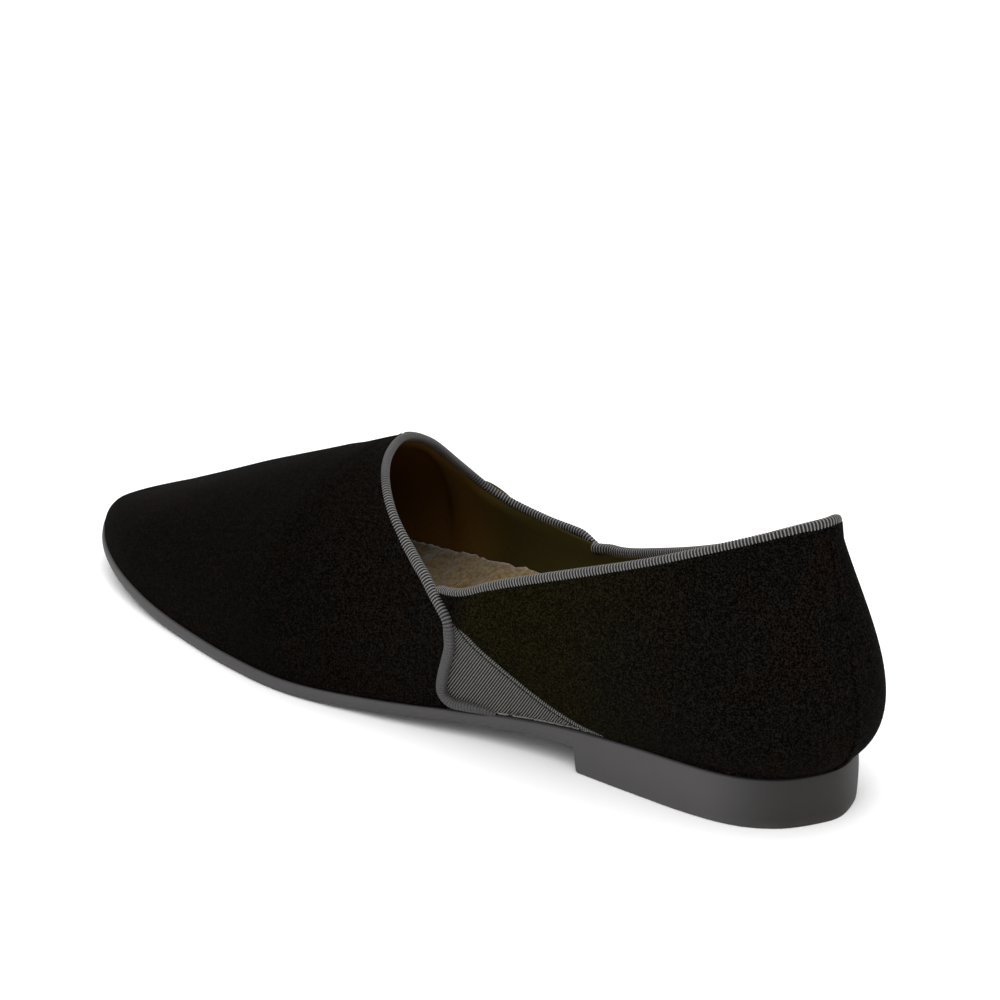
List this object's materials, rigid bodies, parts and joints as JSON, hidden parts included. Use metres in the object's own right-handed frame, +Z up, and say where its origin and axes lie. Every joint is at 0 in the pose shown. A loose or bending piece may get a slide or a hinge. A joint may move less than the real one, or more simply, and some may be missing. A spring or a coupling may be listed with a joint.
{
  "type": "slipper loafer",
  "caption": "Flat velvet slipper loafer for the left foot, with tape-bound edges, elastic side gores, a fleece footbed and a low moulded heel.",
  "frame": {"origin": "middle of the heel's tread, on the floor", "axes": "+X towards the toe, +Y towards the outer side of the foot, +Z up"},
  "size_m": [0.2742, 0.0775, 0.0788],
  "materials": {
    "black_velvet": "cotton velvet with a short nap",
    "grosgrain_tape": "ribbed tape, dull",
    "ribbed_elastic": "fine-ribbed elastic, dull",
    "dark_rubber": "moulded, matte",
    "cream_fleece": "short curly pile"
  },
  "bodies": {
    "root": {"upper": "black_velvet", "vamp_binding": "grosgrain_tape", "top_line_binding": "grosgrain_tape", "outer_gore": "ribbed_elastic", "inner_gore": "ribbed_elastic", "outsole": "dark_rubber", "footbed": "cream_fleece"}
  },
  "joints": []
}
